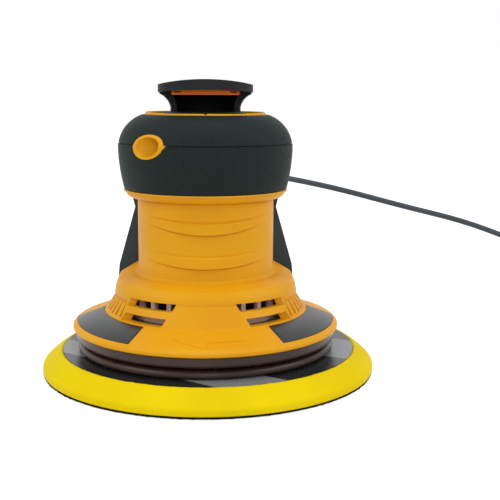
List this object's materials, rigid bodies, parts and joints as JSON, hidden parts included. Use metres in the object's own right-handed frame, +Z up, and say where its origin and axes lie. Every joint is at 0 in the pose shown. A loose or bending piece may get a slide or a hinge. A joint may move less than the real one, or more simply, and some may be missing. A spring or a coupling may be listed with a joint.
{
  "type": "random orbit sander",
  "caption": "Palm-grip random orbit sander: brushless motor over a round hook pad, press lever on top, rear tail with dust outlet, controls and mains lead.",
  "frame": {"origin": "the point of the pad's hook face that lies on the motor axis", "axes": "+Z up along the motor axis away from the work, -Y to the front that faces the picture, +Y to the dust outlet, +X to the right as seen from the front"},
  "size_m": [0.3531, 0.3222, 0.1294],
  "materials": {
    "housing_yellow": "fine moulded texture, satin",
    "grip_rubber": "charcoal overmould with a fine stipple",
    "badge_black": "smooth dark film, bare",
    "bellows_rubber": "brown-grey satin rubber",
    "black_plastic": "charcoal moulded plastic",
    "duct_plastic": "moulded, matt",
    "orange_plastic": "moulded, satin",
    "panel_film": "smooth film, bare",
    "button_plastic": "moulded, satin",
    "fan_plastic": "moulded nylon",
    "bracket_alloy": "die cast",
    "bearing_steel": "ground and polished",
    "turned_steel": "turned",
    "zinc_steel": "zinc plated",
    "lamination": "stacked sheet steel",
    "magnet": "sintered, coated",
    "copper": "enamelled copper wire",
    "circuit_board": "glass-fibre board with green lacquer",
    "component_black": "moulded",
    "pad_plate_plastic": "glass-filled nylon",
    "pad_foam_yellow": "smooth-skinned polyurethane foam",
    "pad_hook_black": "hook fabric",
    "cord_rubber": "slate-grey rubber",
    "tie_strap": "woven strap",
    "pin_nickel": "nickel plated"
  },
  "bodies": {
    "housing": {"badge_left": "badge_black", "badge_right": "badge_black", "baffle_plate": "duct_plastic", "bearing_cover": "bracket_alloy", "board_components": "component_black", "board_screws": "zinc_steel", "brake_skirt": "bellows_rubber", "control_board": "circuit_board", "control_panel": "panel_film", "control_switches": "component_black", "cord_coil": "cord_rubber", "cord_end": "cord_rubber", "cord_lead": "cord_rubber", "cord_tie": "tie_strap", "driver_board": "circuit_board", "dust_duct": "duct_plastic", "dust_outlet": "black_plastic", "grip_cover": "grip_rubber", "housing_left": "housing_yellow", "housing_right": "housing_yellow", "housing_screws": "zinc_steel", "lever_collar": "black_plastic", "lever_pin": "turned_steel", "lever_spring": "zinc_steel", "lower_bracket": "bracket_alloy", "motor_bearing_outers": "bearing_steel", "plug_body": "cord_rubber", "plug_pins": "pin_nickel", "stator_core": "lamination", "stator_windings": "copper", "strain_relief": "cord_rubber", "tail_left": "black_plastic", "tail_right": "black_plastic", "tail_screws": "zinc_steel", "upper_bracket": "bracket_alloy"},
    "rotor": {"motor_shaft": "turned_steel", "rotor_core": "lamination", "rotor_magnets": "magnet", "motor_bearing_inners": "bearing_steel", "motor_bearing_balls": "bearing_steel", "cooling_fan": "fan_plastic", "eccentric_hub": "bracket_alloy", "counterweight": "turned_steel", "spindle_bearing_outer": "bearing_steel", "bearing_circlip": "zinc_steel"},
    "pad": {"spindle_bearing_inner": "bearing_steel", "spindle_bearing_balls": "bearing_steel", "pad_spindle": "turned_steel", "spindle_screw": "zinc_steel", "pad_stud": "turned_steel", "pad_plate": "pad_plate_plastic", "pad_foam": "pad_foam_yellow", "pad_hook": "pad_hook_black"},
    "lever": {"lever": "black_plastic", "lever_insert": "orange_plastic", "lever_magnet": "magnet"},
    "power_button": {"power_button": "button_plastic"},
    "speed_up_button": {"speed_up_button": "button_plastic"},
    "speed_down_button": {"speed_down_button": "button_plastic"}
  },
  "joints": [
    {"name": "rotor_spin", "type": "hinge", "parent": "housing", "child": "rotor", "pos_m": [0, 0, 0.06], "axis": [0, 0, 1], "continuous": true},
    {"name": "pad_spin", "type": "hinge", "parent": "rotor", "child": "pad", "pos_m": [0.00125, 0, 0.012], "axis": [0, 0, 1], "continuous": true},
    {"name": "lever_press", "type": "hinge", "parent": "housing", "child": "lever", "pos_m": [0, 0.009, 0.1085], "axis": [1, 0, 0], "range_deg": [0, 6.5], "stiffness_Nm_per_rad": 1.2, "springref_deg": -2.86, "deforming": ["lever_spring"]},
    {"name": "power_press", "type": "slide", "parent": "housing", "child": "power_button", "axis": [0, 0, -1], "range_m": [0, 0.0008], "stiffness_N_per_m": 900, "springref_m": -0.0004},
    {"name": "speed_up_press", "type": "slide", "parent": "housing", "child": "speed_up_button", "axis": [0, 0, -1], "range_m": [0, 0.0008], "stiffness_N_per_m": 900, "springref_m": -0.0004},
    {"name": "speed_down_press", "type": "slide", "parent": "housing", "child": "speed_down_button", "axis": [0, 0, -1], "range_m": [0, 0.0008], "stiffness_N_per_m": 900, "springref_m": -0.0004}
  ]
}
